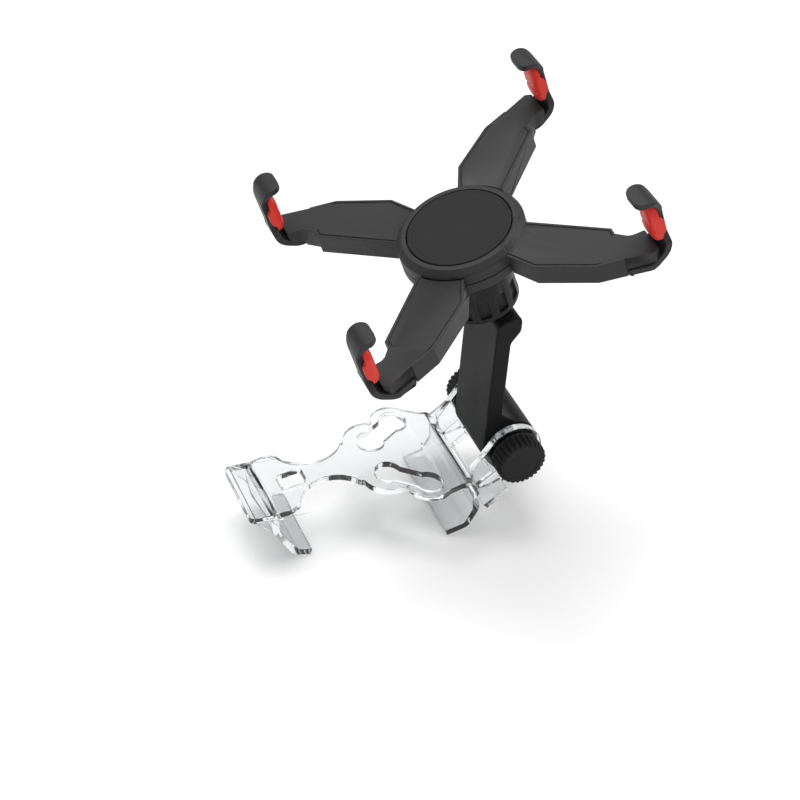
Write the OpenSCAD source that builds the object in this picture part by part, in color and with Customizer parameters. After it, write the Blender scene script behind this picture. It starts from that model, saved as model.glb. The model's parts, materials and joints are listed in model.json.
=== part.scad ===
// Clip with a clear hooked seat, a tilting arm and a four-arm phone holder.
// The origin lies on the seat face of the clear bracket, on its plane of symmetry.
// +X runs across the seat, +Y towards the hinge and +Z out of the seat.

/* [Clear bracket] */
// Thickness of the clear sheet
sheet_t = 2.2; // [1.6:0.1:2.8]
// Half width of the front wall and finger tab
jaw_half = 12.9; // [11:0.1:14]
// Reach of the finger tab in front of the wall
tab_reach = 6.5; // [4:0.5:9]
// Radius of the two side cut-backs at the waist
waist_r = 11.3; // [10:0.1:12]
// Distance of the side cut-backs from the middle
waist_x = 15.24; // [14.5:0.01:16.5]
// Radius of the holes over the small buttons
button_hole_r = 4.3; // [3.4:0.1:4.8]
// Half width of the back wall
back_half = 18.2; // [16.5:0.1:19.5]
// Half width of the sloping flange
flange_half = 23; // [21:0.1:25]
// Half width of the cable notch in the flange
notch_half = 6.2; // [5:0.1:8]

/* [Hinge] */
// Distance of the hinge axis behind the origin
hinge_y = 58.4; // [57.4:0.1:59.4]
// Height of the hinge axis
hinge_z = 5.9; // [5:0.1:6.8]
// Radius of the drum at the foot of the arm
drum_r = 9; // [8.6:0.1:9.2]
// Half width of the stem and of its drum
drum_half = 11.3; // [11:0.1:12]
// Thickness of each ear
ear_t = 2.6; // [2:0.1:3.2]
// Radius of the hinge bolt
bolt_r = 2.5; // [2:0.1:3]
// Thickness of the friction washers
washer_t = 1.1; // [0.5:0.1:1.3]
// Outer radius of the knobs
knob_r = 8; // [7.2:0.1:8.6]
// Length of the knobs
knob_len = 6; // [5.8:0.1:7]
// Number of grip scallops round a knob
knob_grips = 28; // [20:1:32]

/* [Arm] */
// Thickness of the stem
stem_t = 5.2; // [4.8:0.1:6]

/* [Ball joint] */
// Radius of the ball
ball_r = 6.5; // [6:0.1:6.8]
// Radius of the neck under the ball
ball_neck_r = 3; // [2.6:0.1:3.2]
// Thickness of the two cups round the ball
seat_t = 0.9; // [0.7:0.1:1.1]
// Outer radius of the lock nut
nut_r = 11.3; // [11:0.1:12.5]
// Number of grip recesses round the lock nut
nut_grips = 12; // [8:1:14]

/* [Holder] */
// Distance of the holder's centre behind the origin
holder_y = 39.5; // [38:0.5:41]
// Height of the holder's centre
holder_z = 82; // [80:0.5:86]
// Tilt of the holder towards the player, in degrees
holder_tilt = 20.5; // [16:0.5:24]
// Thickness of the arms
arm_t = 6.5; // [6.1:0.1:7.5]
// Radius of the centre pad
disc_r = 15.6; // [14:0.1:16.2]
// Width of the raised rim round the centre pad
rim_w = 1.4; // [1.3:0.1:1.8]
// Width of the sloping skirt outside the rim
skirt_w = 1.9; // [1.7:0.1:2.4]
// Height of the rim above the arms
rim_h = 2.2; // [1.8:0.1:2.8]

/* [Claws] */
// Distance from the centre line to the inner face of the grip pads
grip_v = 43.4; // [42.8:0.1:44]
// Thickness of the grip pads
pad_t = 1.9; // [1.5:0.1:2.6]
// Thickness of the claw
claw_t = 2; // [1.6:0.1:2.4]
// Height of the claw above the arms
claw_h = 17.6; // [15:0.1:18.4]
// Width of the claw's folded tongue
tongue_w = 9.9; // [9:0.1:10.8]
// Width of the claw's spine
spine_w = 5.6; // [4.5:0.1:7]

/* [Hidden] */
$fn = 64;
// Clearance between pieces that are put together but don't move
fit = 0.05;
// Clearance between pieces that turn on each other
run = 0.06;
// Gap between faces of bodies that move past each other
gap = 0.3;
overlap = 0.01;

// Heights in the holder's own frame, where the tops of the arms are zero
half_lap_gap = 0.3;
disc_gap = 0.4;
hub_r = disc_r + disc_gap + rim_w + skirt_w;
hub_top = 0.3;
upper_floor = -3.0;
lower_top = upper_floor - half_lap_gap;
lower_floor = -arm_t;
hub_floor = lower_floor + 0.05;
base_top = lower_floor - gap;
base_flange_t = 2.6;
base_flange_r = 13;
ball_h = -19.5;
seat_r = ball_r + run + seat_t;
cavity_r = seat_r + run;
neck_r = cavity_r + 1.75;
neck_end = ball_h - 4;
nut_top = base_top - base_flange_t - 0.6;
nut_end = ball_h - 7.6;
head_top = ball_h - 10.8;
neck_lean = 9;
neck_len = 14;
lip_top = 2;
cup_end = 4.6;
post_r = 6;
pivot_r = 1.5;
pivot_end = -10.5;
arm_clear_r = hub_r + 0.5;

smoke = [0.86, 0.88, 0.89, 0.45];
black = [0.13, 0.13, 0.14];
dark = [0.2, 0.2, 0.21];
red = [0.86, 0.13, 0.1];
steel = [0.62, 0.62, 0.64];

// Polyline with each inner corner rounded to radius r
function unit(v) = v / norm(v);
function corner_arc(a, b, c, r, n) =
    let (
        d1 = unit(a - b),
        d2 = unit(c - b),
        half = acos(max(-1, min(1, d1 * d2))) / 2,
        cut = min(r / tan(half), 0.48 * norm(a - b), 0.48 * norm(c - b)),
        rr = cut * tan(half),
        mid = b + unit(d1 + d2) * rr / sin(half),
        p1 = b + d1 * cut,
        p2 = b + d2 * cut,
        a1 = atan2(p1.y - mid.y, p1.x - mid.x),
        raw = atan2(p2.y - mid.y, p2.x - mid.x) - a1,
        sweep = raw > 180 ? raw - 360 : raw < -180 ? raw + 360 : raw
    )
    [for (i = [0:n]) mid + rr * [cos(a1 + sweep * i / n), sin(a1 + sweep * i / n)]];
function rounded_path(p, r, n = 4) = [
    p[0],
    for (i = [1:len(p) - 2]) each corner_arc(p[i - 1], p[i], p[i + 1], r, n),
    p[len(p) - 1]
];
// Point i of a path moved sideways by d, to the right of the path for d above zero
function side_dir(p, i) =
    let (
        t1 = i > 0 ? unit(p[i] - p[i - 1]) : unit(p[1] - p[0]),
        t2 = i < len(p) - 1 ? unit(p[i + 1] - p[i]) : t1,
        m = unit(t1 + t2)
    )
    [m.y, -m.x] / (m * t1);
function shifted(p, d) = [for (i = [0:len(p) - 1]) p[i] + side_dir(p, i) * d];
function reversed(p) = [for (i = [len(p) - 1:-1:0]) p[i]];
// Closed outline of a sheet of thickness t that hangs on the right of path p
function sheet_outline(p, t) = concat(p, reversed(shifted(p, t)));
// Closed outline moved inwards by d; the outline runs anticlockwise
function ring_dir(p, i) =
    let (
        n = len(p),
        t1 = unit(p[i] - p[(i + n - 1) % n]),
        t2 = unit(p[(i + 1) % n] - p[i]),
        m = unit(t1 + t2)
    )
    [-m.y, m.x] / (m * t1);
function inset(p, d) = [for (i = [0:len(p) - 1]) p[i] + ring_dir(p, i) * d];

// Extrudes a YZ outline along X between -half and half
module along_x(half) {
    rotate([90, 0, 90])
        linear_extrude(2 * half, center = true)
            children();
}
module rounded_rect(w, l, r) {
    square([w - 2 * r, l], center = true);
    square([w, l - 2 * r], center = true);
    for (sx = [-1, 1], sy = [-1, 1])
        translate([sx * (w / 2 - r), sy * (l / 2 - r)])
            circle(r);
}
module hinge_frame() {
    translate([0, hinge_y, hinge_z])
        rotate([0, 90, 0])
            children();
}
module holder_frame() {
    translate([0, holder_y, holder_z])
        rotate([holder_tilt, 0, 0])
            children();
}
// Quadrants: 0 right and 2 left belong to the upper lever, 1 top and 3 bottom to the lower
module quadrant(q) {
    mirror([q == 1 || q == 2 ? 1 : 0, 0, 0])
        mirror([0, q == 2 || q == 3 ? 1 : 0, 0])
            children();
}

// Clear bracket: side view of the outer face, from the front lip to the back lip
front_wall_y = -20.6;
bracket_path = [
    [-7, -20.6], [-12, -19.6], [-15.2, -15.8], [-19.6, -8.9], [front_wall_y, -1.1],
    [-5, 1.5], [5, sheet_t], [20, sheet_t], [35, 1.2],
    [43.4, -0.3], [46, -3.6], [46.8, -12], [43.6, -18.6], [36.5, -20.4]
];
wall_top = -4.2;
tab_top = -1;
flange_angle = 39;
flange_drop = 1.25;
button_a = [15.24, 29.9];
button_b = [7.7, 19.3];
ear_in = drum_half + washer_t + 2 * fit;
ear_out = ear_in + ear_t;
ear_r = drum_r + 0.1;
knob_in = ear_out + 0.2;
ear_root = 0.6;

module plate_outline() {
    difference() {
        union() {
            polygon([
                [-jaw_half, front_wall_y - 1], [jaw_half, front_wall_y - 1], [jaw_half, -17], [jaw_half + 0.3, -15],
                [jaw_half - 0.3, -12.6], [8.6, -5], [-8.6, -5], [0.3 - jaw_half, -12.6], [-jaw_half - 0.3, -15],
                [-jaw_half, -17]
            ]);
            translate([-9.4, -8])
                square([18.8, 38]);
            for (s = [-1, 1]) {
                translate([s * button_b.x, button_b.y])
                    circle(button_hole_r + 4.4);
                translate([s * button_a.x, button_a.y])
                    circle(button_hole_r + 2.9);
            }
            polygon([
                [-18.6, 26], [18.6, 26], [20.6, 34.5], [back_half, 40.5], [back_half, 50],
                [-back_half, 50], [-back_half, 40.5], [-20.6, 34.5]
            ]);
        }
        for (s = [-1, 1])
            translate([s * waist_x, 0])
                circle(waist_r);
    }
}
module button_cut(s) {
    run_v = button_a - button_b;
    translate([s * button_a.x, button_a.y])
        circle(button_hole_r);
    translate([s * button_b.x, button_b.y])
        circle(button_hole_r);
    translate([s * (button_a.x + button_b.x) / 2, (button_a.y + button_b.y) / 2])
        rotate(s * atan2(run_v.y, run_v.x) - (s < 0 ? 180 : 0))
            square([norm(run_v), 1.5 * button_hole_r], center = true);
}
module flange_frame() {
    translate([0, hinge_y, hinge_z])
        rotate([flange_angle, 0, 0])
            translate([0, 0, -flange_drop])
                children();
}
module ear_outline() {
    circle(ear_r);
    polygon([
        [-14, -4.6], [-6.05, 7.05], [0, 0], [6.2, -6.9], [-6.9, -13.1], [-11.9, -13.1]
    ]);
}
module clear_bracket() {
    color(smoke)
        difference() {
            union() {
                intersection() {
                    along_x(flange_half)
                        polygon(sheet_outline(rounded_path(bracket_path, 3), sheet_t));
                    union() {
                        translate([0, 0, wall_top])
                            linear_extrude(20)
                                plate_outline();
                        translate([-jaw_half, front_wall_y - 10, wall_top - 20])
                            cube([2 * jaw_half, 30, 20 + overlap]);
                        translate([-back_half, 25, wall_top - 20])
                            cube([2 * back_half, 30, 20 + overlap]);
                    }
                }
                finger_tab();
                flange();
                for (s = [-1, 1])
                    translate([s * (ear_in + ear_out) / 2, hinge_y, hinge_z])
                        along_x(ear_t / 2)
                            ear_outline();
            }
            translate([0, 0, -6])
                linear_extrude(12) {
                    for (s = [-1, 1])
                        button_cut(s);
                    translate([0, -9.6])
                        rounded_rect(5.8, 7.8, 1);
                }
            hinge_frame()
                cylinder(r = bolt_r + fit, h = 3 * ear_out, center = true);
        }
}
module finger_tab() {
    translate([0, front_wall_y - tab_reach / 2 + 1, tab_top - sheet_t])
        linear_extrude(sheet_t)
            rounded_rect(2 * jaw_half, tab_reach + 2, 2);
    for (s = [-1, 1])
        translate([s * (jaw_half - 0.8), 0, 0])
            along_x(0.8)
                polygon([
                    [front_wall_y - tab_reach + 2, tab_top - sheet_t + overlap], [front_wall_y + 1.2, -9.3],
                    [front_wall_y + 1.2, tab_top - sheet_t + overlap]
                ]);
}
module flange() {
    flange_end = -(knob_r + 0.6);
    drum_end = -(drum_r + 0.9);
    flange_start = -17.7;
    flange_frame()
        translate([0, 0, -sheet_t])
            linear_extrude(sheet_t)
                difference() {
                    translate([-flange_half, flange_start])
                        square([2 * flange_half, flange_end - flange_start]);
                    translate([-ear_in - ear_root, drum_end])
                        square([2 * (ear_in + ear_root), 20]);
                    translate([-notch_half, flange_start + 2.2])
                        square([2 * notch_half, 40]);
                }
}

// Hinge arm: side view in the YZ plane
module hinge_arm() {
    stem_front_y = hinge_y - drum_r;
    stem_back_y = stem_front_y + stem_t;
    head = [holder_y - head_top * sin(holder_tilt), holder_z + head_top * cos(holder_tilt)];
    slope = tan(holder_tilt);
    head_back_y = stem_back_y + 3;
    color(black)
        difference() {
            union() {
                along_x(drum_half)
                    polygon(concat(
                        rounded_path([
                            [stem_front_y, hinge_z],
                            [stem_front_y, head.y + slope * (stem_front_y - head.x)],
                            [head_back_y, head.y + slope * (head_back_y - head.x)],
                            [head_back_y, head.y - 3.5],
                            [stem_back_y, head.y - 7.6],
                            [stem_back_y, hinge_z + drum_r + 3.4],
                            [stem_back_y + 6.5, hinge_z + drum_r - 1.1]
                        ], 2.6),
                        [[hinge_y, hinge_z]]
                    ));
                hinge_frame()
                    cylinder(r = drum_r, h = 2 * drum_half, center = true, $fn = 96);
                holder_frame()
                    translate([0, 0, ball_h]) {
                        sphere(ball_r, $fn = 96);
                        rotate([neck_lean, 0, 0])
                            translate([0, 0, -neck_len])
                                cylinder(r = ball_neck_r, h = neck_len);
                    }
            }
            hinge_frame()
                cylinder(r = bolt_r + fit, h = 3 * drum_half, center = true);
        }
}
module hinge_bolt() {
    color(steel)
        hinge_frame() {
            translate([0, 0, -knob_in - 3.4])
                cylinder(r = bolt_r, h = 2 * knob_in + 3.4 + 3.9);
            translate([0, 0, -knob_in - 3.4 - 2.2])
                cylinder(r = 4.4, h = 2.2 + overlap, $fn = 6);
        }
}
module hinge_nut() {
    color(steel)
        hinge_frame()
            translate([0, 0, knob_in + 0.6])
                difference() {
                    cylinder(r = 4.4, h = 3.2, $fn = 6);
                    translate([0, 0, -1])
                        cylinder(r = bolt_r + fit, h = 6);
                }
}
module friction_washers() {
    color(dark)
        for (s = [-1, 1])
            hinge_frame()
                translate([0, 0, s * (drum_half + fit + washer_t / 2)])
                    difference() {
                        cylinder(r = drum_r - 2, h = washer_t, center = true);
                        cylinder(r = bolt_r + fit, h = 4, center = true);
                    }
}
// Knob with its bearing face at z = 0 and its closed end at z = knob_len
module knob(pocket_from) {
    scallop_r = 0.62;
    difference() {
        union() {
            cylinder(r = knob_r, h = knob_len - 0.5);
            translate([0, 0, knob_len - 0.5])
                cylinder(r1 = knob_r, r2 = knob_r - 0.5, h = 0.5);
        }
        for (i = [0:knob_grips - 1])
            rotate(i * 360 / knob_grips)
                translate([knob_r + 0.12, 0, 0.9])
                    cylinder(r = scallop_r, h = knob_len, $fn = 16);
        translate([0, 0, -1])
            cylinder(r = bolt_r + fit, h = 1 + pocket_from + 0.1);
        translate([0, 0, pocket_from])
            cylinder(r = 4.4 + 2 * fit, h = 3.3, $fn = 6);
    }
}
module knob_left() {
    color(dark)
        mirror([1, 0, 0])
            translate([knob_in, hinge_y, hinge_z])
                rotate([0, 90, 0])
                    difference() {
                        knob(3.35);
                        translate([0, 0, 3.35])
                            cylinder(r = 4.4 + 2 * fit, h = 2.3 + 0.1, $fn = 6);
                    }
}
module knob_right() {
    color(dark)
        translate([knob_in, hinge_y, hinge_z])
            rotate([0, 90, 0])
                difference() {
                    knob(0.55);
                    cylinder(r = bolt_r + fit, h = 4.4);
                }
}

// Ball joint, in the holder's frame
module upper_cup() {
    color(dark)
        holder_frame()
            translate([0, 0, ball_h])
                intersection() {
                    difference() {
                        sphere(seat_r, $fn = 96);
                        sphere(ball_r + run, $fn = 96);
                    }
                    translate([0, 0, 0.8])
                        cylinder(r = 20, h = 20);
                }
}
module lower_cup() {
    color(dark)
        holder_frame()
            translate([0, 0, ball_h])
                difference() {
                    sphere(seat_r, $fn = 96);
                    sphere(ball_r + run, $fn = 96);
                    translate([0, 0, -lip_top])
                        cylinder(r = 20, h = 20);
                    translate([0, 0, -cup_end - 20])
                        cylinder(r = 20, h = 20);
                }
}
module socket_base() {
    color(dark)
        holder_frame()
            difference() {
                union() {
                    translate([0, 0, base_top - base_flange_t])
                        cylinder(r = base_flange_r, h = base_flange_t);
                    translate([0, 0, neck_end])
                        cylinder(r = neck_r, h = base_top - base_flange_t - neck_end + overlap);
                    translate([0, 0, base_top - overlap])
                        cylinder(r = post_r, h = upper_floor - base_top + overlap);
                    translate([-3.2, -3.2, upper_floor - overlap])
                        cube([6.4, 6.4, 1.2]);
                }
                translate([0, 0, ball_h])
                    sphere(cavity_r, $fn = 96);
                translate([0, 0, neck_end - 1])
                    cylinder(r = cavity_r, h = ball_h - neck_end + 1);
                for (i = [0:3])
                    rotate(45 + 90 * i)
                        translate([cavity_r - 1.2, -0.5, neck_end - 1])
                            cube([4, 1, 7.5]);
                translate([0, 0, pivot_end - 0.2])
                    cylinder(r = pivot_r + fit, h = 20);
            }
}
module lock_nut() {
    color(dark)
        holder_frame()
            difference() {
                union() {
                    translate([0, 0, nut_end])
                        difference() {
                            cylinder(r = nut_r, h = nut_top - nut_end);
                            translate([0, 0, neck_end - gap - nut_end])
                                cylinder(r = neck_r + run, h = 40);
                        }
                    translate([0, 0, nut_end + 1])
                        cylinder(r = cavity_r - gap, h = ball_h - lip_top - nut_end - 1);
                }
                translate([0, 0, ball_h])
                    sphere(cavity_r, $fn = 96);
                translate([0, 0, nut_end - overlap])
                    cylinder(r1 = 7.3, r2 = 5, h = 4.8);
                for (i = [0:nut_grips - 1])
                    rotate((i + 0.5) * 360 / nut_grips)
                        translate([nut_r - 0.9, -1.6, nut_end + 1.6])
                            cube([3, 3.2, 6.4]);
            }
}
module wave_washer() {
    color(steel)
        holder_frame()
            translate([0, 0, base_top])
                difference() {
                    cylinder(r = 11, h = hub_floor - base_top);
                    translate([0, 0, -1])
                        cylinder(r = post_r + 0.6, h = 3);
                }
}

// Holder: plan of one arm, in its own frame with X along the arm's diagonal
arm_end = sqrt(2) * grip_v;
arm_start = hub_r - 3.3;
arm_body = [
    [arm_start, -7.2], [arm_start + 11, -11.2], [arm_end - 16.6, -9], [arm_end - 9, -5.3],
    [arm_end - 10.2, 4.1], [arm_end - 15.1, 4.6], [arm_end - 16.7, 6.5], [arm_start, 6.5]
];
hook_u0 = grip_v - 9.8;
hook_u1 = grip_v + 0.2;
function plan(u, v) = [(u + v) / sqrt(2), (v - u) / sqrt(2)];
arm_neck = [
    [arm_end - 17.4, -7], [arm_end - 9, -4.9], plan(hook_u1, grip_v - 1.8),
    plan(hook_u1 - 1.2, grip_v), plan(hook_u0, grip_v), [arm_end - 9.8, 4.6],
    [arm_end - 12.2, 3.9], [arm_end - 14.6, 4.1], [arm_end - 17.4, 4]
];
strap_t = claw_t;
foot_v = grip_v - 9.5;
strap_plan = [
    [arm_end - 24.4, -4], [arm_end - 14.4, -5], [arm_end - 9.6, -4.9],
    plan(hook_u1 - 2.4, foot_v + 0.3), plan(hook_u0, foot_v + 0.3),
    [arm_end - 15.4, 3.7], [arm_end - 24.4, 3.7]
];
screw_spots = [[arm_end - 21.4, 0], [arm_end - 16.2, -0.4]];
screw_r = 0.9;
screw_len = 5;
screw_head_r = 2;
screw_head_t = 0.75;
screw_head_from = 0.15;

module arm_block() {
    difference() {
        rotate(45)
            arm_shape();
        outside_claw((hook_u1 - hook_u0) / 2 + fit);
    }
}
// All that lies on the outer side of the claw's inner face
module outside_claw(half) {
    translate([claw_mid, 0, 0])
        along_x(half)
            polygon(concat(
                shifted(claw_curve, claw_t + fit),
                [[foot_v - 0.3, -2 * arm_t], [spine_v + 9, -2 * arm_t], [spine_v + 9, claw_h]]
            ));
}
module arm_shape() {
    difference() {
        union() {
            translate([0, 0, -arm_t])
                linear_extrude(arm_t)
                    polygon(arm_body);
            translate([0, 0, -arm_t + strap_t + fit])
                linear_extrude(arm_t - strap_t - fit)
                    polygon(arm_neck);
        }
        translate([0, 0, -arm_t - 1])
            linear_extrude(1 + strap_t + fit)
                polygon(inset(strap_plan, -0.08));
        translate([0, 0, -0.35])
            linear_extrude(1)
                difference() {
                    polygon(inset(arm_body, 0.8));
                    polygon(inset(arm_body, 1.15));
                    translate([arm_end - 15.4, -20])
                        square(40);
                }
        for (p = screw_spots)
            translate([p.x, p.y, -arm_t])
                cylinder(r = screw_r + fit, h = screw_head_from + screw_len + 2 * fit);
    }
}
module ring_section() {
    polygon([
        [disc_r + disc_gap, hub_top], [hub_r - 0.1, hub_top], [hub_r - 0.3, hub_top + 0.35],
        [hub_r - skirt_w + 0.3, rim_h - 0.2], [hub_r - skirt_w, rim_h], [disc_r + disc_gap, rim_h]
    ]);
}
ring_half = 21;
module upper_lever() {
    color(black)
        holder_frame()
            difference() {
                union() {
                    translate([0, 0, upper_floor])
                        cylinder(r = hub_r, h = hub_top - upper_floor, $fn = 96);
                    for (q = [0, 2])
                        quadrant(q)
                            difference() {
                                arm_block();
                                translate([0, 0, -arm_t - 1])
                                    cylinder(r = arm_clear_r, h = upper_floor + arm_t + 1, $fn = 96);
                            }
                    for (a = [45, 225])
                        rotate(a - ring_half)
                            rotate_extrude(angle = 2 * ring_half, $fn = 96)
                                ring_section();
                    rotate(90)
                        translate([stop_ring_r, 0, upper_floor - 2.6])
                            cylinder(r = stop_pin_r, h = 3);
                }
                translate([-3.25, -3.25, upper_floor - overlap])
                    cube([6.5, 6.5, 1.25]);
                translate([0, 0, upper_floor - 1])
                    cylinder(r = pivot_r + fit, h = 5);
                translate([0, 0, hub_top - 1.2])
                    cylinder(r = 2.9, h = 2);
                for (a = rim_screw_angles)
                    rotate(a)
                        translate([rim_screw_r, 0, upper_floor - 1])
                            cylinder(r = rim_hole_r, h = 6);
            }
}
stop_ring_r = hub_r - 4.5;
stop_pin_r = 1.4;
scissor_close = 34;
scissor_open = 28;
stop_play = 7;
rim_hole_r = 0.9;
rim_screw_r = disc_r + disc_gap + rim_hole_r + 0.1;
rim_screw_top = hub_top + 1.1;
rim_screw_angles = [-60, 0, 120, 180];
module lower_lever() {
    color(black)
        holder_frame()
            difference() {
                union() {
                    translate([0, 0, hub_floor])
                        cylinder(r = hub_r, h = lower_top - hub_floor, $fn = 96);
                    for (q = [1, 3])
                        quadrant(q)
                            difference() {
                                arm_block();
                                translate([0, 0, lower_top])
                                    cylinder(r = arm_clear_r, h = 10, $fn = 96);
                            }
                }
                translate([0, 0, lower_floor - 1])
                    cylinder(r = post_r + run, h = 10);
                rotate(90 - scissor_close - stop_play)
                    translate([0, 0, lower_floor - 1])
                        rotate_extrude(angle = scissor_close + scissor_open + 2 * stop_play, $fn = 96)
                            translate([stop_ring_r - stop_pin_r - 0.2, 0])
                                square([2 * stop_pin_r + 0.4, 8]);
            }
}
module rim_ring() {
    color(black)
        holder_frame()
            difference() {
                for (a = [45, 225])
                    rotate(a + ring_half)
                        rotate_extrude(angle = 180 - 2 * ring_half, $fn = 96)
                            ring_section();
                for (a = rim_screw_angles)
                    rotate(a)
                        translate([rim_screw_r, 0, upper_floor])
                            cylinder(r = rim_hole_r, h = rim_screw_top + 0.1 - upper_floor);
            }
}
module centre_disc() {
    color([0.24, 0.24, 0.24])
        holder_frame()
            translate([0, 0, hub_top])
                difference() {
                    union() {
                        cylinder(r = disc_r, h = rim_h + 0.2 - hub_top - 0.3, $fn = 96);
                        translate([0, 0, rim_h - hub_top - 0.1])
                            cylinder(r1 = disc_r, r2 = disc_r - 0.3, h = 0.3, $fn = 96);
                    }
                    translate([0, 0, -1])
                        cylinder(r = 3.2, h = 1.6);
                }
}
module pivot_screw() {
    color(steel)
        holder_frame() {
            translate([0, 0, hub_top - 1.2])
                cylinder(r = 2.8, h = 1.2);
            translate([0, 0, pivot_end])
                cylinder(r = pivot_r, h = -pivot_end);
        }
}
module rim_screws() {
    color(steel)
        holder_frame()
            for (a = rim_screw_angles)
                rotate(a)
                    translate([rim_screw_r, 0, upper_floor + 0.4])
                        cylinder(r = rim_hole_r - fit, h = rim_screw_top - upper_floor - 0.4);
}

// Claws and grip pads, drawn for the right-hand arm
spine_v = grip_v + pad_t;
pad_bulge = 0.9;
flare_h = 6.2;
claw_mid = (hook_u0 + hook_u1) / 2;
claw_side = [
    [foot_v - 0.3, -arm_t], [spine_v - 4.2, -arm_t + 0.3], [spine_v + claw_t, -2.2],
    [spine_v + claw_t, claw_h - 3.6], [spine_v - 0.6, claw_h], [grip_v - 4, claw_h]
];
claw_bend_r = 6.2;
claw_curve = reversed(rounded_path(claw_side, claw_bend_r, 6));
module claw_face() {
    polygon([
        [hook_u0, -arm_t - 1], [hook_u1, -arm_t - 1], [hook_u1, 0.6], [claw_mid + spine_w / 2, 3.4],
        [claw_mid + spine_w / 2, claw_h - flare_h], [claw_mid + tongue_w / 2, claw_h - 1.6],
        [claw_mid + tongue_w / 2, claw_h + 3], [claw_mid - tongue_w / 2, claw_h + 3],
        [claw_mid - tongue_w / 2, claw_h - 1.6], [claw_mid - spine_w / 2, claw_h - flare_h],
        [claw_mid - spine_w / 2, 3.4], [hook_u0, 0.6]
    ]);
}
module claw() {
    difference() {
        union() {
            rotate(45)
                translate([0, 0, -arm_t])
                    linear_extrude(strap_t)
                        polygon(strap_plan);
            intersection() {
                translate([claw_mid, 0, 0])
                    along_x(tongue_w)
                        polygon(sheet_outline(claw_curve, claw_t));
                translate([0, spine_v + 20, 0])
                    rotate([90, 0, 0])
                        linear_extrude(spine_v + 24 - foot_v)
                            claw_face();
                union() {
                    translate([claw_mid, grip_v - 3.6 + 15, claw_h / 2])
                        linear_extrude(claw_h)
                            rounded_rect(tongue_w, 30, 3.2);
                    translate([0, 0, -arm_t - 1])
                        linear_extrude(arm_t + 1 + claw_h / 2 + overlap)
                            polygon([
                                [hook_u0, foot_v], [hook_u1 - 2.4, foot_v], [hook_u1, foot_v + 6],
                                [hook_u1, spine_v + 9], [hook_u0, spine_v + 9]
                            ]);
                }
            }
        }
        rotate(45)
            for (p = screw_spots)
                translate([p.x, p.y, -arm_t - 1]) {
                    cylinder(r = screw_r + 0.3, h = 6);
                    cylinder(r = screw_head_r + 0.1, h = 1 + screw_head_from + screw_head_t);
                }
    }
}
module grip_pad() {
    pad_w = hook_u1 - hook_u0 - 0.4;
    pad_lo = 0.7;
    pad_hi = claw_h - 2.6;
    difference() {
        translate([claw_mid, spine_v + 1.3, (pad_lo + pad_hi) / 2])
            rotate([90, 0, 0])
                linear_extrude(pad_t + pad_bulge + 1.3)
                    rounded_rect(pad_w, pad_hi - pad_lo, 3.4);
        translate([claw_mid - spine_w / 2 - 0.1, spine_v - fit, -5])
            cube([spine_w + 0.2, 10, 30]);
        translate([claw_mid, grip_v - pad_bulge, 6.4])
            for (s = [-1, 1])
                translate([s * 2.4, 0, 0])
                    rotate([0, s * 24, 0])
                        cube([5.6, 1.4, 0.7], center = true);
        claw_room();
        intersection() {
            outside_claw(hook_u1 - hook_u0);
            translate([0, 0, claw_h - flare_h])
                cube(100);
        }
    }
}
// Room for the claw's flared foot and tongue behind the pad
module claw_room() {
    for (k = [0, 1])
        translate([0, spine_v + 20, 0])
            rotate([90, 0, 0])
                linear_extrude(20 + fit)
                    polygon(k == 0
                        ? [[hook_u0 - 1, -9], [hook_u1 + 1, -9], [hook_u1 + 1, 0.8], [claw_mid + spine_w / 2, 3.8],
                           [claw_mid - spine_w / 2, 3.8], [hook_u0 - 1, 0.8]]
                        : [[hook_u0 - 1, claw_h + 9], [hook_u1 + 1, claw_h + 9], [hook_u1 + 1, claw_h - 2.4],
                           [claw_mid + spine_w / 2, claw_h - flare_h - 0.4],
                           [claw_mid - spine_w / 2, claw_h - flare_h - 0.4],
                           [hook_u0 - 1, claw_h - 2.4]]);
}
module claw_screws() {
    rotate(45)
        for (p = screw_spots)
            translate([p.x, p.y, -arm_t + screw_head_from]) {
                cylinder(r = screw_head_r, h = screw_head_t);
                cylinder(r = screw_r, h = screw_len);
            }
}
module claw_at(q) {
    color(black)
        holder_frame()
            quadrant(q)
                claw();
}
module pad_at(q) {
    color(red)
        holder_frame()
            quadrant(q)
                grip_pad();
}
module screws_at(quadrants) {
    color(steel)
        holder_frame()
            for (q = quadrants)
                quadrant(q)
                    claw_screws();
}

clear_bracket();
hinge_arm();
hinge_bolt();
hinge_nut();
friction_washers();
knob_left();
knob_right();
upper_cup();
lower_cup();
socket_base();
lock_nut();
wave_washer();
upper_lever();
lower_lever();
rim_ring();
centre_disc();
pivot_screw();
rim_screws();
claw_at(0);  // claw_right
claw_at(2);  // claw_left
claw_at(1);  // claw_top
claw_at(3);  // claw_bottom
pad_at(0);  // pad_right
pad_at(2);  // pad_left
pad_at(1);  // pad_top
pad_at(3);  // pad_bottom
screws_at([0, 2]);  // claw_screws_upper
screws_at([1, 3]);  // claw_screws_lower
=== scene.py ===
# %% [markdown]
# # A clear clip with a four-arm phone holder
#
# A clear plastic sheet hooks onto what it is worn on. Behind it stands a black arm that tilts
# between two ribbed knobs. On the arm's head sits a ball, and on the ball a round holder whose
# four arms end in claws with red grip pads. The solids, their places and their joints come
# ready made, so this file only dresses them: it replaces the pieces whose surface can be
# worked out better here, gives every piece a finish, and sets up floor, light and camera.

# %% Load the solids
import json
import math

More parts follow.
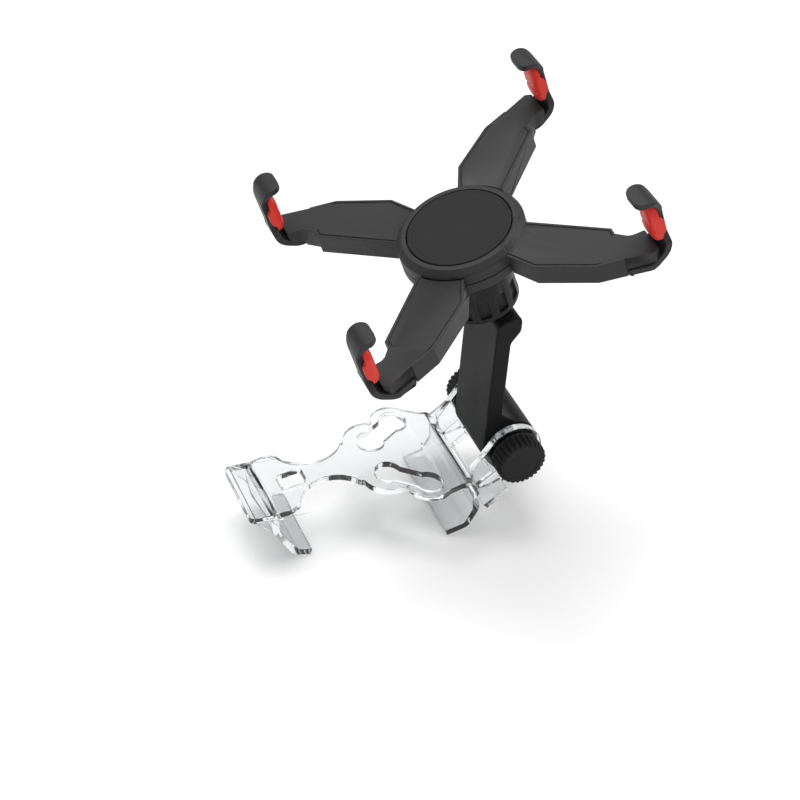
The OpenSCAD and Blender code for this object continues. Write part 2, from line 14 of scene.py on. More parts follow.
import bmesh
import bpy
import numpy as np
from mathutils import Matrix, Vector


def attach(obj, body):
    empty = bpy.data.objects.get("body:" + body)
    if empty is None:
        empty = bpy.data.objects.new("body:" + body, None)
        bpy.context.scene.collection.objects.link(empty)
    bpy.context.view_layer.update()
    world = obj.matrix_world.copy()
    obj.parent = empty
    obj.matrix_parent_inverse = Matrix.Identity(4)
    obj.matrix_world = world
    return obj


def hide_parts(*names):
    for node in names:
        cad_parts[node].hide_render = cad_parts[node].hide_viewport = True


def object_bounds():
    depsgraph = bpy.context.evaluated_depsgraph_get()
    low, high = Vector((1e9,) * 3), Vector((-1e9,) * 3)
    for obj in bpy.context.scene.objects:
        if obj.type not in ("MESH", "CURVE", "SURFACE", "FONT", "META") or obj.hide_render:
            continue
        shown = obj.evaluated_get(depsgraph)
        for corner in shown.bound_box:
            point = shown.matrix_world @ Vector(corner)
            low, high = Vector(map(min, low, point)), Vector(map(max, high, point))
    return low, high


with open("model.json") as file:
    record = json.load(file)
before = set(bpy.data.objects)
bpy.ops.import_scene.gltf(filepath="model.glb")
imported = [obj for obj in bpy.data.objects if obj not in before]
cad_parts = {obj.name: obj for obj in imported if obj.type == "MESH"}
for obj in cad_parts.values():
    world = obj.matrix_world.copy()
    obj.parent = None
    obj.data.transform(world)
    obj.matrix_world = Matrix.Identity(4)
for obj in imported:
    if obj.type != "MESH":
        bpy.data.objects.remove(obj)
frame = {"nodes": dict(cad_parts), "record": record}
solid_box = [list(corner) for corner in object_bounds()]
body_of_node = {
    node: body
    for body, members in frame["record"]["behaviour"]["bodies"].items()
    for node in members
}
print("solids:", len(frame["nodes"]))

# %% [markdown]
# ## Two frames to work in
#
# The round holder leans towards the player, and the knobs turn on the hinge. It is easier to
# write a disc as a disc, so each shape is worked out in a frame of its own, in millimetres,
# and turned into the part's frame in metres at the end. The mesh holds its place itself: the
# object stays at the origin, so that patterns on object coordinates stay put.

# %% Holder frame and hinge frame
MM = 0.001
HOLDER_CENTRE = (39.5, 82.0)
HOLDER_LEAN = math.radians(20.5)
HINGE = (58.4, 5.9)


def from_holder(p):
    """Turns each point about X by the holder's lean, then moves it to the holder's centre."""
    c, s = math.cos(HOLDER_LEAN), math.sin(HOLDER_LEAN)
    y = HOLDER_CENTRE[0] + p[..., 1] * c - p[..., 2] * s
    z = HOLDER_CENTRE[1] + p[..., 1] * s + p[..., 2] * c
    return np.stack([p[..., 0], y, z], -1) * MM


def from_hinge(p, side):
    """Lays the knob's own axis along X on the given side of the hinge."""
    return np.stack([side * p[..., 2], HINGE[0] + p[..., 0], HINGE[1] + p[..., 1]], -1) * MM


print("holder centre", from_holder(np.zeros(3)).round(4), "hinge at", HINGE)

# %% [markdown]
# ## From a grid of points to a closed skin
#
# Every new surface here is a grid: one direction runs round the piece and closes on itself,
# the other runs from one end to the other. Both ends are drawn together in one pole, so that
# the skin is closed. The sign of the volume says whether the skin is inside out, and if it is
# the order of the corners is turned round.


# %% A skin from a grid
def skin(name, rows, crease=35):
    """Joins point j of row i to its neighbours round the row and in row i + 1; each end row
    gets a fan to the mean of its points. Volume is the sum of corner a . (b x c) over six."""
    n, m = rows.shape[:2]
    ends = np.stack([rows[0].mean(0), rows[-1].mean(0)])
    points = np.concatenate([rows.reshape(-1, 3), ends])
    i, j = np.meshgrid(np.arange(n - 1), np.arange(m), indexing="ij")
    k = (j + 1) % m
    quads = np.stack([i * m + j, i * m + k, (i + 1) * m + k, (i + 1) * m + j], -1).reshape(-1, 4)
    around = np.arange(m)
    after = (around + 1) % m
    first = np.stack([after, around, np.full(m, n * m)], -1)
    last = np.stack([(n - 1) * m + around, (n - 1) * m + after, np.full(m, n * m + 1)], -1)
    fans = np.concatenate([first, last])
    halves = np.concatenate([quads[:, [0, 1, 2]], quads[:, [0, 2, 3]], fans])
    a, b, c = (points[halves[:, s]] for s in range(3))
    volume = (a * np.cross(b, c)).sum() / 6
    if volume < 0:
        quads, fans = quads[:, ::-1], fans[:, ::-1]
    mesh = bpy.data.meshes.new(name)
    mesh.from_pydata(points.tolist(), [], quads.tolist() + fans.tolist())
    mesh.shade_smooth()
    mesh.set_sharp_from_angle(angle=math.radians(crease))
    piece = bpy.data.objects.new(name, mesh)
    bpy.context.scene.collection.objects.link(piece)
    print(name, len(mesh.polygons), "faces,", round(abs(volume) * 1e9), "mm3")
    return piece


def along(corners, step):
    """Points along a chain of corners, at most step apart, every corner kept."""
    corners = np.asarray(corners, float)
    parts = []
    for start, end in zip(corners[:-1], corners[1:]):
        count = max(1, int(np.ceil(np.linalg.norm(end - start) / step)))
        parts.append(start + (end - start) * np.linspace(0, 1, count, endpoint=False)[:, None])
    return np.concatenate(parts + [corners[-1:]])


def rounded(corners, radius, steps=5):
    """Each inner corner becomes a curve: from a point short of it, bent towards it, to a
    point past it, as a quadratic curve with the corner as its middle control point."""
    corners = np.asarray(corners, float)
    path = [corners[:1]]
    t = np.linspace(0, 1, steps)[:, None]
    for a, b, c in zip(corners[:-2], corners[1:-1], corners[2:]):
        la, lc = np.linalg.norm(a - b), np.linalg.norm(c - b)
        p = b + (a - b) * min(radius, 0.45 * la) / la
        q = b + (c - b) * min(radius, 0.45 * lc) / lc
        path.append((1 - t) ** 2 * p + 2 * t * (1 - t) * b + t**2 * q)
    return np.concatenate(path + [corners[-1:]])


# %% [markdown]
# ## Moulded pieces keep their solids' shape
#
# The clear sheet, the arm, the levers and the claws have many flat faces and holes, and the
# solids already have them right. A copy of the solid is used, with its loose triangles merged
# and the flat ones joined, so that a narrow bevel can run along every edge. A mould never
# leaves a knife edge, and it is the bright line along this bevel that makes plastic look real.


# %% Copies with softened edges
def softened(node, bevel, segments=2, crease=32):
    """The solid's own mesh, merged, its flat faces joined, and its edges rounded by bevel mm."""
    mesh = frame["nodes"][node].data.copy()
    mesh.name = node + "_skin"
    loose = bmesh.new()
    loose.from_mesh(mesh)
    bmesh.ops.remove_doubles(loose, verts=loose.verts, dist=0.004 * MM)
    bmesh.ops.dissolve_degenerate(loose, dist=0.004 * MM, edges=loose.edges)
    bmesh.ops.dissolve_limit(
        loose, angle_limit=math.radians(0.4), verts=loose.verts, edges=loose.edges
    )
    loose.to_mesh(mesh)
    loose.free()
    mesh.shade_smooth()
    mesh.set_sharp_from_angle(angle=math.radians(crease))
    piece = bpy.data.objects.new(node + "_skin", mesh)
    bpy.context.scene.collection.objects.link(piece)
    if bevel:
        rounding = piece.modifiers.new("soft edges", "BEVEL")
        rounding.width = bevel * MM
        rounding.segments = segments
        rounding.limit_method = "ANGLE"
        rounding.angle_limit = math.radians(crease)
        rounding.use_clamp_overlap = False
        rounding.harden_normals = True
    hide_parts(node)
    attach(piece, body_of_node[node])
    print(piece.name, len(mesh.polygons), "faces before the bevel")
    return piece


# %% [markdown]
# ## Grain, wear and the finishes
#
# Moulded plastic has a fine grain from the spark-eroded mould, a slow drift of tone where
# hands have been, and edges rubbed a little lighter. One node group gives all three from
# object coordinates, and each finish sets its own sizes. The edge mask compares the surface's
# normal with one that is averaged over a small radius: they only differ near an edge.


# %% The grain group
def wire(tree, kind, place, **values):
    """Adds a node, sets its properties and gives it back."""
    node = tree.nodes.new(kind)
    node.location = place
    for key, value in values.items():
        setattr(node, key, value)
    return node


def grain_group():
    """Height = fine noise; Tone = base colour times 1 +- drift, lighter where the edge mask
    and a scratchy noise meet; Roughness = base roughness +- drift."""
    group = bpy.data.node_groups.new("moulded grain", "ShaderNodeTree")
    sockets = group.interface
    for name, kind, default in (
        ("Vector", "NodeSocketVector", None),
        ("Colour", "NodeSocketColor", (0.1, 0.1, 0.1, 1)),
        ("Worn Colour", "NodeSocketColor", (0.3, 0.3, 0.3, 1)),
        ("Grain Scale", "NodeSocketFloat", 4000.0),
        ("Drift", "NodeSocketFloat", 0.1),
        ("Wear", "NodeSocketFloat", 0.3),
        ("Edge Radius", "NodeSocketFloat", 0.0004),
        ("Roughness", "NodeSocketFloat", 0.5),
        ("Roughness Drift", "NodeSocketFloat", 0.1),
    ):
        socket = sockets.new_socket(name, in_out="INPUT", socket_type=kind)
        if default is not None:
            socket.default_value = default
    sockets.new_socket("Tone", in_out="OUTPUT", socket_type="NodeSocketColor")
    sockets.new_socket("Roughness", in_out="OUTPUT", socket_type="NodeSocketFloat")
    sockets.new_socket("Height", in_out="OUTPUT", socket_type="NodeSocketFloat")
    sockets.new_socket("Soft Normal", in_out="OUTPUT", socket_type="NodeSocketVector")
    link = group.links.new
    inside = wire(group, "NodeGroupInput", (-900, 0))
    out = wire(group, "NodeGroupOutput", (900, 0))
    fine = wire(group, "ShaderNodeTexNoise", (-600, 300))
    fine.inputs["Detail"].default_value = 3
    broad = wire(group, "ShaderNodeTexNoise", (-600, 0))
    broad.inputs["Scale"].default_value = 70
    broad.inputs["Detail"].default_value = 4
    rub = wire(group, "ShaderNodeTexNoise", (-600, -300))
    rub.inputs["Scale"].default_value = 450
    rub.inputs["Detail"].default_value = 5
    link(inside.outputs["Grain Scale"], fine.inputs["Scale"])
    for noise in (fine, broad, rub):
        link(inside.outputs["Vector"], noise.inputs["Vector"])
    link(fine.outputs["Fac"], out.inputs["Height"])

    centred = wire(group, "ShaderNodeMath", (-400, 0), operation="SUBTRACT")
    centred.inputs[1].default_value = 0.5
    link(broad.outputs["Fac"], centred.inputs[0])
    swing = wire(group, "ShaderNodeMath", (-200, 100), operation="MULTIPLY_ADD")
    link(centred.outputs[0], swing.inputs[0])
    link(inside.outputs["Drift"], swing.inputs[1])
    swing.inputs[2].default_value = 1
    toned = wire(group, "ShaderNodeVectorMath", (0, 200), operation="SCALE")
    link(inside.outputs["Colour"], toned.inputs[0])
    link(swing.outputs[0], toned.inputs["Scale"])

    soft = wire(group, "ShaderNodeBevel", (-600, -560), samples=6)
    link(inside.outputs["Edge Radius"], soft.inputs["Radius"])
    link(soft.outputs["Normal"], out.inputs["Soft Normal"])
    true_normal = wire(group, "ShaderNodeNewGeometry", (-600, -720))
    match = wire(group, "ShaderNodeVectorMath", (-400, -600), operation="DOT_PRODUCT")
    link(soft.outputs["Normal"], match.inputs[0])
    link(true_normal.outputs["Normal"], match.inputs[1])
    mask = wire(group, "ShaderNodeMapRange", (-200, -600))
    mask.inputs["From Min"].default_value = 0.99
    mask.inputs["From Max"].default_value = 0.80
    link(match.outputs["Value"], mask.inputs["Value"])
    patchy = wire(group, "ShaderNodeMapRange", (-200, -300))
    patchy.inputs["From Min"].default_value = 0.42
    patchy.inputs["From Max"].default_value = 0.62
    link(rub.outputs["Fac"], patchy.inputs["Value"])
    both = wire(group, "ShaderNodeMath", (0, -450), operation="MULTIPLY")
    link(mask.outputs["Result"], both.inputs[0])
    link(patchy.outputs["Result"], both.inputs[1])
    worn = wire(group, "ShaderNodeMath", (200, -450), operation="MULTIPLY")
    link(both.outputs[0], worn.inputs[0])
    link(inside.outputs["Wear"], worn.inputs[1])
    tone = wire(group, "ShaderNodeMix", (500, 200), data_type="RGBA")
    link(worn.outputs[0], tone.inputs["Factor"])
    link(toned.outputs["Vector"], tone.inputs["A"])
    link(inside.outputs["Worn Colour"], tone.inputs["B"])
    link(tone.outputs["Result"], out.inputs["Tone"])

    gloss = wire(group, "ShaderNodeMath", (200, 0), operation="MULTIPLY_ADD")
    link(centred.outputs[0], gloss.inputs[0])
    link(inside.outputs["Roughness Drift"], gloss.inputs[1])
    link(inside.outputs["Roughness"], gloss.inputs[2])
    link(gloss.outputs[0], out.inputs["Roughness"])
    return group


grain = grain_group()
print("group sockets:", [item.name for item in grain.interface.items_tree])


# %% A finish made from the group
def finish(name, colour, worn, *, grain_scale, bump, drift=0.25, wear=0.4, edge=0.4,
           roughness=0.5, roughness_drift=0.25, metallic=0.0, specular=0.5):
    """A material: the group feeds colour and roughness, its height feeds a bump of the given
    depth in mm, laid on the softened normal. What is the same all over sits on the shader."""
    material = bpy.data.materials.new(name)
    material.use_nodes = True
    tree = material.node_tree
    shader = tree.nodes["Principled BSDF"]
    shader.inputs["Metallic"].default_value = metallic
    shader.inputs["Specular IOR Level"].default_value = specular
    where = wire(tree, "ShaderNodeTexCoord", (-900, 0))
    texture = wire(tree, "ShaderNodeGroup", (-600, 0), node_tree=grain)
    settings = {
        "Colour": (*colour, 1), "Worn Colour": (*worn, 1), "Grain Scale": grain_scale,
        "Drift": drift, "Wear": wear, "Edge Radius": edge * MM,
        "Roughness": roughness, "Roughness Drift": roughness_drift,
    }
    for key, value in settings.items():
        texture.inputs[key].default_value = value
    tree.links.new(where.outputs["Object"], texture.inputs["Vector"])
    tree.links.new(texture.outputs["Tone"], shader.inputs["Base Color"])
    tree.links.new(texture.outputs["Roughness"], shader.inputs["Roughness"])
    relief = wire(tree, "ShaderNodeBump", (-300, -300))
    relief.inputs["Distance"].default_value = bump * MM
    relief.inputs["Strength"].default_value = 1
    tree.links.new(texture.outputs["Height"], relief.inputs["Height"])
    tree.links.new(texture.outputs["Soft Normal"], relief.inputs["Normal"])
    tree.links.new(relief.outputs["Normal"], shader.inputs["Normal"])
    return material


BLACK = finish("black moulding", (0.020, 0.020, 0.021), (0.09, 0.09, 0.095),
               grain_scale=2600, bump=0.04, drift=0.3, wear=0.5, roughness=0.5, specular=0.3)
# The arm is the same black plastic as the holder. This darker copy of it is painted shade: the
# holder's shadow falling on the arm.
BLACK_IN_PAINTED_SHADE = finish("black moulding in painted shade", (0.010, 0.010, 0.011), (0.05, 0.05, 0.052),
              grain_scale=2600, bump=0.03, drift=0.3, wear=0.4, roughness=0.5, specular=0.1)
KNOB = finish("knob moulding", (0.010, 0.010, 0.011), (0.06, 0.06, 0.06),
              grain_scale=3400, bump=0.03, drift=0.3, wear=0.6, edge=0.25, roughness=0.45,
              specular=0.15)
NYLON = finish("dark nylon", (0.008, 0.008, 0.009), (0.05, 0.05, 0.05),
               grain_scale=3000, bump=0.03, drift=0.3, wear=0.35, roughness=0.4,
               specular=0.15)
RUBBER = finish("disc rubber", (0.022, 0.022, 0.022), (0.07, 0.07, 0.07),
                grain_scale=5200, bump=0.03, drift=0.25, wear=0.25, roughness=0.75,
                specular=0.15)
SILICONE = finish("red silicone", (0.66, 0.028, 0.016), (0.78, 0.09, 0.06),
                  grain_scale=3800, bump=0.02, drift=0.2, wear=0.25, roughness=0.42,
                  specular=0.3)
STEEL = finish("plated steel", (0.55, 0.55, 0.56), (0.75, 0.75, 0.75),
               grain_scale=6000, bump=0.006, drift=0.15, wear=0.4, edge=0.15,
               roughness=0.3, metallic=1.0)
print("finishes:", [m.name for m in bpy.data.materials])

# %% [markdown]
# ## Clear plastic
#
# The sheet is clear polycarbonate a little over two millimetres thick. What shows is not its
# colour but its edges, its bends and faint marks of handling. Full transmission with the real
# index of refraction does that, and a fine noise makes the gloss uneven, as wiped plastic is.

# %% The clear finish
def clear_finish():
    """Transmission 1, index 1.585; roughness = a low base plus wiped streaks of noise."""
    material = bpy.data.materials.new("clear sheet")
    material.use_nodes = True
    tree = material.node_tree
    shader = tree.nodes["Principled BSDF"]
    shader.inputs["Transmission Weight"].default_value = 1.0
    shader.inputs["IOR"].default_value = 1.585
    where = wire(tree, "ShaderNodeTexCoord", (-900, 0))
    stretch = wire(tree, "ShaderNodeMapping", (-700, 0))
    stretch.inputs["Scale"].default_value = (1, 0.3, 1)
    wipes = wire(tree, "ShaderNodeTexNoise", (-500, 0))
    wipes.inputs["Scale"].default_value = 260
    wipes.inputs["Detail"].default_value = 5
    haze = wire(tree, "ShaderNodeMapRange", (-300, 0))
    haze.inputs["From Min"].default_value = 0.35
    haze.inputs["From Max"].default_value = 0.75
    haze.inputs["To Min"].default_value = 0.02
    haze.inputs["To Max"].default_value = 0.10
    tint = wire(tree, "ShaderNodeMix", (-300, 300), data_type="RGBA")
    tint.inputs["A"].default_value = (0.93, 0.95, 0.96, 1)
    tint.inputs["B"].default_value = (0.98, 0.985, 0.99, 1)
    ripple = wire(tree, "ShaderNodeTexNoise", (-500, -300))
    ripple.inputs["Scale"].default_value = 55
    relief = wire(tree, "ShaderNodeBump", (-300, -300))
    relief.inputs["Distance"].default_value = 0.05 * MM
    relief.inputs["Strength"].default_value = 0.5
    tree.links.new(where.outputs["Object"], stretch.inputs["Vector"])
    tree.links.new(stretch.outputs["Vector"], wipes.inputs["Vector"])
    tree.links.new(where.outputs["Object"], ripple.inputs["Vector"])
    tree.links.new(wipes.outputs["Fac"], haze.inputs["Value"])
    tree.links.new(haze.outputs["Result"], shader.inputs["Roughness"])
    tree.links.new(wipes.outputs["Fac"], tint.inputs["Factor"])
    tree.links.new(tint.outputs["Result"], shader.inputs["Base Color"])
    tree.links.new(ripple.outputs["Fac"], relief.inputs["Height"])
    tree.links.new(relief.outputs["Normal"], shader.inputs["Normal"])
    return material


CLEAR = clear_finish()


def dress(piece, material):
    """Gives every material slot of the piece this one finish."""
    piece.data.materials.clear()
    piece.data.materials.append(material)
    return piece


print("clear finish:", CLEAR.name, "with", len(CLEAR.node_tree.nodes), "nodes")


# %% [markdown]
# ## The moulded pieces
#
# Clear sheet, tilting arm, the two levers that make the four holder arms, the four claws, the
# nut and the socket: all keep their solids' shape and get softened edges. How wide the bevel
# may be depends on the smallest ledge beside it.

# %% Soften and dress them
MOULDED = (
    ("clear_bracket", 0.25, "clear_plastic", CLEAR),
    # The arm takes the darker copy of the black plastic: painted shade.
    ("hinge_arm", 0.5, "black_plastic", BLACK_IN_PAINTED_SHADE),
    ("upper_lever", 0.12, "black_plastic", BLACK),
    ("lower_lever", 0.12, "black_plastic", BLACK),
    ("claw_right", 0.25, "black_plastic", BLACK),
    ("claw_left", 0.25, "black_plastic", BLACK),
    ("claw_top", 0.25, "black_plastic", BLACK),
    ("claw_bottom", 0.25, "black_plastic", BLACK),
    ("socket_base", 0.15, "dark_nylon", NYLON),
    ("lock_nut", 0.2, "dark_nylon", NYLON),
)
for node, bevel, slot_name, material in MOULDED:
    dress(softened(node, bevel), material)

# %% [markdown]
# ## Ribbed knobs
#
# Each knob is a short drum with twenty-eight small flutes round it for the fingers and a
# chamfered outer face. A radius that depends on two things, the place along the knob and the
# angle, describes it: the profile gives the plain radius, and a row of round dips is taken
# off it. Inside, the profile runs on down the bore and round the pocket that holds the nut.

# %% Knob surface
KNOB_R, KNOB_LEN, FLUTES = 8.0, 6.0, 28
KNOB_IN = 15.3
BORE_R = 2.55


def knob(name, node, side, pocket):
    """Radius(s, angle) = profile(s) - depth(s) x dip(angle). The dip is a cosine hump raised
    to the third power, 28 to a turn; its depth fades in over the first millimetre."""
    pocket_from, pocket_to = pocket
    outline = [
        (0.02, pocket_to), (4.6, pocket_to), (4.6, pocket_from), (BORE_R, pocket_from),
        (BORE_R, 0), (KNOB_R - 0.25, 0), (KNOB_R, 0.3), (KNOB_R, 0.7), (KNOB_R, 1.3),
        (KNOB_R, KNOB_LEN - 0.7), (KNOB_R - 0.6, KNOB_LEN), (5.6, KNOB_LEN),
        (5.2, KNOB_LEN - 0.12), (0.02, KNOB_LEN - 0.12),
    ]
    profile = along(rounded(outline, 0.3, 4), 0.6)
    angle = np.linspace(0, 2 * np.pi, FLUTES * 12, endpoint=False)
    s, h = profile[:, :1], profile[:, 1:]
    dip = (0.5 + 0.5 * np.cos(FLUTES * angle)) ** 1.5
    depth = 0.65 * np.clip((h - 0.7) / 0.6, 0, 1) * np.clip((s - 6.4) / 0.8, 0, 1)
    radius = s - depth * dip
    grid = np.stack([radius * np.cos(angle), radius * np.sin(angle),
                     KNOB_IN + h + 0 * angle], -1)
    piece = skin(name, from_hinge(grid, side))
    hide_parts(node)
    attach(piece, body_of_node[node])
    return dress(piece, KNOB)


knob("left_ribbed_knob", "knob_left", -1, (3.35, 5.7))
knob("right_ribbed_knob", "knob_right", 1, (0.55, 4.4))

# %% [markdown]
# ## Soft disc
#
# The phone's back lies on a rubber disc in the middle of the holder, inside a raised rim.
# Both are turned shapes. The disc is very slightly dished, with a fine groove near its edge.
# The rim's four quarters are swept along an arc; two belong to the upper lever's moulding,
# and the two loose ones keep their solid's shape.

# %% Disc
HUB_TOP, RIM_TOP, DISC_R = 0.3, 2.2, 15.6


def soft_disc():
    """Height over the disc = top - 0.25 x (1 - (r / R)^2), with a round groove near the edge."""
    radius = np.linspace(0.02, DISC_R - 0.45, 90)
    dished = RIM_TOP + 0.18 - 0.22 * (1 - (radius / DISC_R) ** 2)
    groove = 0.12 * np.exp(-(((radius - 14.3) / 0.22) ** 2))
    top = np.stack([radius, dished - groove], -1)
    edge = rounded([top[-1], (DISC_R, RIM_TOP + 0.12), (DISC_R, HUB_TOP + 0.25),
                    (DISC_R - 0.25, HUB_TOP), (3.2, HUB_TOP), (3.2, HUB_TOP + 0.6),
                    (0.02, HUB_TOP + 0.6)], 0.4, 6)
    profile = np.concatenate([top, edge[1:]])
    angle = np.linspace(0, 2 * np.pi, 160, endpoint=False)
    r, h = profile[:, :1], profile[:, 1:]
    grid = np.stack([r * np.cos(angle), r * np.sin(angle), h + 0 * angle], -1)
    piece = skin("phone_rest_disc", from_holder(grid))
    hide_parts("centre_disc")
    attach(piece, body_of_node["centre_disc"])
    return dress(piece, RUBBER)


soft_disc()

# %% [markdown]
# ## Red grip pads
#
# Four silicone pads take the phone's edges. Seen from the phone each is a tall lozenge with
# round ends, its face swells a little, and two folds pressed into the face meet in a shallow
# arrow. Behind, a channel takes the claw's spine. So each cross-section, taken at one height,
# is a closed curve whose width follows the round ends, and whose cheeks at the back fade out
# towards both ends, where the claw flares.

# %% Pad surface
PAD_U, PAD_HALF = 38.6, 4.8
PAD_LOW, PAD_HIGH = 0.7, 15.0
PAD_FACE, SPINE_V, SPINE_HALF = 42.5, 45.24, 2.95
CHEEK = 1.3
BEND_FROM = 11.6


def eased(x):
    """A step with soft ends: 3 x^2 - 2 x^3, held at nothing before 0 and at one after 1."""
    x = np.clip(x, 0, 1)
    return x * x * (3 - 2 * x)


def pad_outline(width, cheek, face, rear):
    """One cross-section as an array (height, point, 2): up one side of the face, round the
    crowned front as a flat superellipse, down the cheeks and across the channel."""
    t = np.linspace(-1, 1, 41)
    front_u = width[:, None] * np.sign(t) * (1 - (1 - np.abs(t)) ** 1.6)
    rise = 1.9 * np.abs(t) ** 3.2
    front_v = face[:, None] + rise
    side = np.linspace(0.15, 1, 6)
    back = rear + cheek
    side_v = front_v[:, -1:] + (back[:, None] - front_v[:, -1:]) * side
    side_u = width[:, None] + 0 * side
    spine = np.minimum(SPINE_HALF, 0.75 * width)[:, None]
    step_u = np.concatenate([0.5 * (width[:, None] + spine), spine], 1)
    step_v = np.concatenate([back[:, None], back[:, None]], 1)
    floor_u = spine * np.array([1.0, 0.5, 0.0, -0.5, -1.0])
    floor_v = rear[:, None] + 0 * floor_u
    u = np.concatenate([front_u, side_u, step_u, floor_u, -step_u[:, ::-1], -side_u], 1)
    v = np.concatenate([front_v, side_v, step_v, floor_v, step_v, side_v[:, ::-1]], 1)
    return u, v


def grip_pad(name, node, turn):
    """Point(height, t) = outline with half width w(h) = W x (1 - e(h)^2)^(1/2) at the round
    ends, pushed back by the folds: depth x exp(-(distance to the fold / 0.42)^2). The rear
    leans in near the top, where the claw bends over."""
    reach = 4.2
    a = np.linspace(0, np.pi / 2, 16)[1:]
    low = PAD_LOW + reach * (1 - np.sin(a))
    high = PAD_HIGH - reach * (1 - np.sin(a))
    h = np.unique(np.concatenate([low, np.linspace(low.max(), high.min(), 42), high]).round(5))
    end = np.clip((PAD_LOW + reach - h) / reach, 0, 1) + np.clip(
        (h - PAD_HIGH + reach) / reach, 0, 1)
    width = PAD_HALF * (0.22 + 0.78 * np.sqrt(np.clip(1 - end**2, 0, 1)))
    cheek = CHEEK * eased((h - 3.7) / 2.4) * eased((PAD_HIGH - 4.1 - h) / 2.4)
    face = PAD_FACE + 1.3 * end**2.4
    rear = SPINE_V - 0.055 * np.maximum(h - BEND_FROM, 0) ** 2.4
    u, v = pad_outline(width, cheek, face, rear)
    z = h[:, None] + 0 * u
    for s in (-1, 1):
        slope = math.tan(math.radians(24))
        off = (z - 6.4 + s * slope * (u - s * 2.4)) * math.cos(math.radians(24))
        near = np.exp(-((off / 0.42) ** 2)) * np.clip((s * u + 0.3) / 0.6, 0, 1)
        near = near * np.clip((4.6 - np.abs(u)) / 0.9, 0, 1)
        v = v + np.where(v < SPINE_V - 0.8, 0.55 * near, 0)
    grid = np.stack([turn[0] * (u + PAD_U), turn[1] * v, z], -1)
    piece = skin(name, from_holder(grid), 50)
    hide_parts(node)
    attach(piece, body_of_node[node])
    return dress(piece, SILICONE)


for place, turn in (("right", (1, 1)), ("left", (-1, -1)), ("top", (-1, 1)), ("bottom", (1, -1))):
    grip_pad("grip_pad_" + place, "pad_" + place, turn)

# %% [markdown]
# ## Pieces that stay as they are
#
# Screws, washers, the hinge bolt and its nut, the cups round the ball and the two loose
# quarters of the rim have the right shape already. They only get their finish.

# %% Dress the rest
KEPT = {
    STEEL: ("hinge_bolt", "hinge_nut", "wave_washer", "pivot_screw", "rim_screws",
            "claw_screws_upper", "claw_screws_lower"),
    NYLON: ("friction_washers", "upper_cup", "lower_cup"),
    BLACK: ("rim_ring",),
}
for material, nodes in KEPT.items():
    for node in nodes:
        dress(frame["nodes"][node], material)
    print(material.name, "on", len(nodes), "solids")

# %% [markdown]
# ## Floor, light and camera
#
# A plain pale floor that runs up into a wall, three large soft lamps, and a pale world. The
# world shows white to the camera and through the clear plastic, but lights the object only a
# little, so that black stays black and colours come out about as they are written.

# %% Floor
LOWEST = solid_box[0][2]


def sweep_floor():
    """A profile, flat and then rising in a quarter circle, drawn out sideways. Far from the
    object the camera sees plain white, so that only the shadow shows on the floor."""
    turn = np.linspace(0, np.pi / 2, 24)
    radius, start = 0.8, 1.6
    profile = np.concatenate([
        [[-2.5, 0.0]],
        np.stack([start + radius * np.sin(turn), radius * (1 - np.cos(turn))], -1),
        [[start + radius, 3.0]],
    ])
    x = np.array([-3.5, 3.5])
    grid = np.stack([
        x[None, :] + 0 * profile[:, :1], profile[:, :1] + 0 * x[None, :],
        LOWEST + profile[:, 1:] + 0 * x[None, :],
    ], -1)
    n = len(profile)
    i = np.arange(n - 1)
    faces = np.stack([2 * i, 2 * i + 1, 2 * i + 3, 2 * i + 2], -1)
    mesh = bpy.data.meshes.new("floor")
    mesh.from_pydata(grid.reshape(-1, 3).tolist(), [], faces.tolist())
    mesh.shade_smooth()
    piece = bpy.data.objects.new("floor", mesh)
    bpy.context.scene.collection.objects.link(piece)
    material = bpy.data.materials.new("pale floor")
    material.use_nodes = True
    tree = material.node_tree
    shader = tree.nodes["Principled BSDF"]
    shader.inputs["Base Color"].default_value = (0.86, 0.86, 0.86, 1)
    shader.inputs["Roughness"].default_value = 0.9
    where = wire(tree, "ShaderNodeTexCoord", (-900, 0))
    away = wire(tree, "ShaderNodeVectorMath", (-700, 0), operation="LENGTH")
    fade = wire(tree, "ShaderNodeMapRange", (-500, 0), interpolation_type="SMOOTHSTEP")
    fade.inputs["From Min"].default_value = 0.35
    fade.inputs["From Max"].default_value = 0.9
    path = wire(tree, "ShaderNodeLightPath", (-500, 300))
    seen = wire(tree, "ShaderNodeMath", (-300, 100), operation="MULTIPLY")
    white = wire(tree, "ShaderNodeEmission", (0, -300))
    mix = wire(tree, "ShaderNodeMixShader", (300, 0))
    out = tree.nodes["Material Output"]
    tree.links.new(where.outputs["Object"], away.inputs[0])
    tree.links.new(away.outputs["Value"], fade.inputs["Value"])
    tree.links.new(fade.outputs["Result"], seen.inputs[0])
    tree.links.new(path.outputs["Is Camera Ray"], seen.inputs[1])
    tree.links.new(seen.outputs[0], mix.inputs["Fac"])
    tree.links.new(shader.outputs[0], mix.inputs[1])
    tree.links.new(white.outputs[0], mix.inputs[2])
    tree.links.new(mix.outputs[0], out.inputs["Surface"])
    piece.data.materials.append(material)
    return piece


print("floor at", round(LOWEST, 4), "with", len(sweep_floor().data.polygons), "faces")


# %% Light
def lamp(name, place, target, size, power):
    """A square area lamp at a place, facing a target."""
    data = bpy.data.lights.new(name, "AREA")
    data.size = size
    data.energy = power
    piece = bpy.data.objects.new(name, data)
    back = np.asarray(place, float) - np.asarray(target, float)
    back /= np.linalg.norm(back)
    right = np.cross((0, 0, 1), back)
    right /= np.linalg.norm(right)
    up = np.cross(back, right)
    matrix = np.eye(4)
    matrix[:3, 0], matrix[:3, 1], matrix[:3, 2], matrix[:3, 3] = right, up, back, place
    piece.matrix_world = Matrix(matrix.tolist())
    bpy.context.scene.collection.objects.link(piece)
    return piece


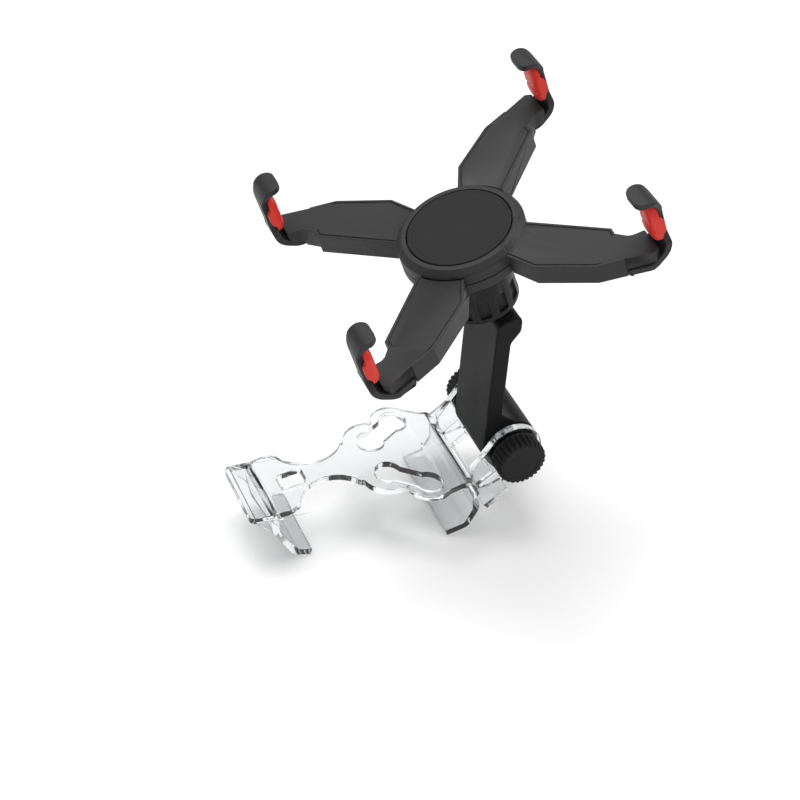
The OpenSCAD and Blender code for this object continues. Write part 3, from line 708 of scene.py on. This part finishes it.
MIDDLE = (0.0, 0.03, 0.05)
lamp("key", (-0.35, -0.15, 1.3), MIDDLE, 0.9, 15)
lamp("fill", (1.1, -0.4, 0.7), MIDDLE, 0.9, 3)
lamp("back", (0.1, 1.0, 0.9), MIDDLE, 0.8, 7)


def pale_world():
    """White where the camera or a clear sheet looks out; a soft grey elsewhere."""
    world = bpy.data.worlds.new("pale world")
    bpy.context.scene.world = world
    world.use_nodes = True
    tree = world.node_tree
    tree.nodes.clear()
    out = wire(tree, "ShaderNodeOutputWorld", (600, 0))
    seen = wire(tree, "ShaderNodeBackground", (0, 100))
    seen.inputs["Color"].default_value = (1, 1, 1, 1)
    lit = wire(tree, "ShaderNodeBackground", (0, -100))
    lit.inputs["Color"].default_value = (1, 1, 1, 1)
    lit.inputs["Strength"].default_value = 0.42
    path = wire(tree, "ShaderNodeLightPath", (-600, 0))
    looks = wire(tree, "ShaderNodeMath", (-300, 100), operation="MAXIMUM")
    tree.links.new(path.outputs["Is Camera Ray"], looks.inputs[0])
    tree.links.new(path.outputs["Is Transmission Ray"], looks.inputs[1])
    mix = wire(tree, "ShaderNodeMixShader", (300, 0))
    tree.links.new(looks.outputs[0], mix.inputs["Fac"])
    tree.links.new(lit.outputs[0], mix.inputs[1])
    tree.links.new(seen.outputs[0], mix.inputs[2])
    tree.links.new(mix.outputs[0], out.inputs["Surface"])


pale_world()
bpy.context.scene.view_settings.view_transform = "Standard"

# %% Camera
CAMERA_AT = np.array([472.754, -198.453, 441.439]) * MM
RIGHT = (0.376303, 0.924013, 0.067795)
DOWN = (0.600004, -0.187286, -0.777765)
AHEAD = (-0.705968, 0.333352, -0.624888)
camera_data = bpy.data.cameras.new("camera")
camera_data.lens = 98.786
camera_data.sensor_width = 36
camera_data.clip_start = 0.01
camera_data.clip_end = 20
camera = bpy.data.objects.new("camera", camera_data)
bpy.context.scene.collection.objects.link(camera)
turned = np.eye(4)
turned[:3, 0] = RIGHT
turned[:3, 1] = -np.array(DOWN)
turned[:3, 2] = -np.array(AHEAD)
turned[:3, 3] = CAMERA_AT
camera.matrix_world = Matrix(turned.tolist())
bpy.context.scene.camera = camera
print("camera at", CAMERA_AT.round(3), "looking along", AHEAD)

# %% [markdown]
# ## Size
#
# The dressed part must stay the size of the solids, so the solids' box is printed.

# %% Print the solids' box
print("solids", np.round(solid_box, 4).tolist())
